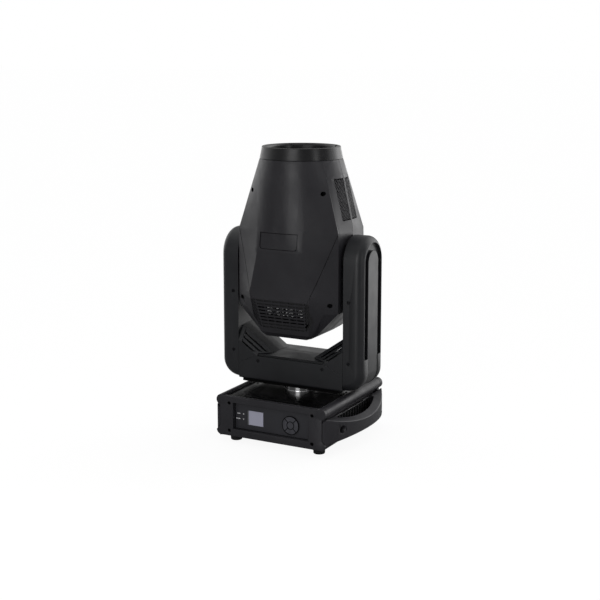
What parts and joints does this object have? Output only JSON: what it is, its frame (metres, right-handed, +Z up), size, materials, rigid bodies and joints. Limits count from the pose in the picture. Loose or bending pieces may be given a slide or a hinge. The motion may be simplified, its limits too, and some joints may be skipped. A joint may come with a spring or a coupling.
{
  "type": "moving head light",
  "caption": "Moving head stage light: flat base with keypad and side handles, a yoke that pans, and a faceted head that tilts, with zoom, focus and filter wheels inside.",
  "frame": {"origin": "on the floor, under the pan axis, midway between the feet", "axes": "+Z up along the pan axis, the front with the display and keys faces -Y, and the tilt axis runs along X"},
  "size_m": [0.368, 0.3056, 0.6775],
  "materials": {
    "housing_black": "fine-textured satin black moulding",
    "panel_black": "smooth satin dark panel",
    "gloss_black": "polished black",
    "frame_black": "black powder coat",
    "bright_ring": "polished",
    "aluminium_plain": "machined",
    "steel_plain": "brushed",
    "screw_black": "black oxide",
    "rubber_black": "matt",
    "key_rubber": "satin keys",
    "display_glass": "lit display window",
    "lens_glass": "coated lens",
    "board_green": "circuit board",
    "belt_rubber": "toothed belt",
    "engine_white": "led board",
    "filter_dark": "anodised wheel"
  },
  "bodies": {
    "root": {"front_frame": "housing_black", "rear_frame": "housing_black", "side_rails": "housing_black", "side_handle_left": "housing_black", "side_handle_right": "housing_black", "top_plate": "gloss_black", "bottom_tray": "frame_black", "feet": "rubber_black", "base_screws": "screw_black", "control_panel": "panel_black", "display_window": "display_glass", "keypad_board": "board_green", "rear_sockets": "panel_black", "power_supply": "steel_plain", "main_board": "board_green", "pan_ring": "bright_ring", "pan_spindle": "aluminium_plain"},
    "yoke": {"pan_bearing": "steel_plain", "drive_motors": "steel_plain", "drive_belts": "belt_rubber", "yoke_frame": "frame_black", "crossbar_front_cover": "housing_black", "crossbar_rear_cover": "housing_black", "gusset_vents": "housing_black", "arm_shell_right": "housing_black", "arm_shell_left": "housing_black", "arm_plates": "housing_black", "tilt_bearings": "steel_plain", "yoke_screws": "screw_black"},
    "head": {"head_shell_front": "housing_black", "head_shell_rear": "housing_black", "front_shield": "housing_black", "rear_shield": "housing_black", "vent_meshes": "frame_black", "nose_ring": "gloss_black", "front_lens": "lens_glass", "head_screws": "screw_black", "head_chassis": "frame_black", "guide_rods": "steel_plain", "wheel_motors": "steel_plain", "led_engine": "engine_white", "heat_sink": "aluminium_plain", "fan_frames": "panel_black", "trunnions": "aluminium_plain", "tilt_pulley": "aluminium_plain"},
    "pan_pinion": {"pan_pinion": "aluminium_plain"},
    "tilt_pinion": {"tilt_pinion": "aluminium_plain"},
    "focus": {"focus_carriage": "aluminium_plain", "focus_lens": "lens_glass"},
    "zoom": {"zoom_carriage": "aluminium_plain", "zoom_lens": "lens_glass"},
    "colour_wheel": {"colour_wheel": "filter_dark"},
    "gobo_wheel": {"gobo_wheel": "filter_dark"},
    "fan_left": {"fan_rotor_left": "panel_black"},
    "fan_right": {"fan_rotor_right": "panel_black"},
    "key_up": {"key_up": "key_rubber"},
    "key_right": {"key_right": "key_rubber"},
    "key_down": {"key_down": "key_rubber"},
    "key_left": {"key_left": "key_rubber"},
    "key_enter": {"key_enter": "key_rubber"}
  },
  "joints": [
    {"name": "pan", "type": "hinge", "parent": "root", "child": "yoke", "pos_m": [0, 0, 0.13], "axis": [0, 0, 1], "range_deg": [-270, 270]},
    {"name": "tilt", "type": "hinge", "parent": "yoke", "child": "head", "pos_m": [0, 0, 0.4235], "axis": [1, 0, 0], "range_deg": [-135, 135]},
    {"name": "pan_pinion_spin", "type": "hinge", "parent": "yoke", "child": "pan_pinion", "pos_m": [-0.086, 0, 0.18], "axis": [0, 0, 1], "range_deg": [-1360, 1360]},
    {"name": "tilt_pinion_spin", "type": "hinge", "parent": "yoke", "child": "tilt_pinion", "pos_m": [0.17, 0, 0.2935], "axis": [1, 0, 0], "range_deg": [-680, 680]},
    {"name": "focus_slide", "type": "slide", "parent": "head", "child": "focus", "axis": [0, 0, 1], "range_m": [-0.008, 0.045]},
    {"name": "zoom_slide", "type": "slide", "parent": "head", "child": "zoom", "axis": [0, 0, 1], "range_m": [-0.01, 0.045]},
    {"name": "colour_spin", "type": "hinge", "parent": "head", "child": "colour_wheel", "pos_m": [0, 0.04, 0.367], "axis": [0, 0, 1], "continuous": true},
    {"name": "gobo_spin", "type": "hinge", "parent": "head", "child": "gobo_wheel", "pos_m": [0, -0.04, 0.38], "axis": [0, 0, 1], "continuous": true},
    {"name": "fan_left_spin", "type": "hinge", "parent": "head", "child": "fan_left", "pos_m": [-0.057, 0, 0.302], "axis": [1, 0, 0], "continuous": true},
    {"name": "fan_right_spin", "type": "hinge", "parent": "head", "child": "fan_right", "pos_m": [0.057, 0, 0.302], "axis": [1, 0, 0], "continuous": true},
    {"name": "key_up_press", "type": "slide", "parent": "root", "child": "key_up", "axis": [0, 1, 0], "range_m": [0, 0.0012], "stiffness_N_per_m": 900},
    {"name": "key_right_press", "type": "slide", "parent": "root", "child": "key_right", "axis": [0, 1, 0], "range_m": [0, 0.0012], "stiffness_N_per_m": 900},
    {"name": "key_down_press", "type": "slide", "parent": "root", "child": "key_down", "axis": [0, 1, 0], "range_m": [0, 0.0012], "stiffness_N_per_m": 900},
    {"name": "key_left_press", "type": "slide", "parent": "root", "child": "key_left", "axis": [0, 1, 0], "range_m": [0, 0.0012], "stiffness_N_per_m": 900},
    {"name": "key_enter_press", "type": "slide", "parent": "root", "child": "key_enter", "axis": [0, 1, 0], "range_m": [0, 0.0012], "stiffness_N_per_m": 900}
  ],
  "couplings": [
    {"joint": "pan_pinion_spin", "follows": "pan", "ratio": -5},
    {"joint": "tilt_pinion_spin", "follows": "tilt", "ratio": 5}
  ]
}
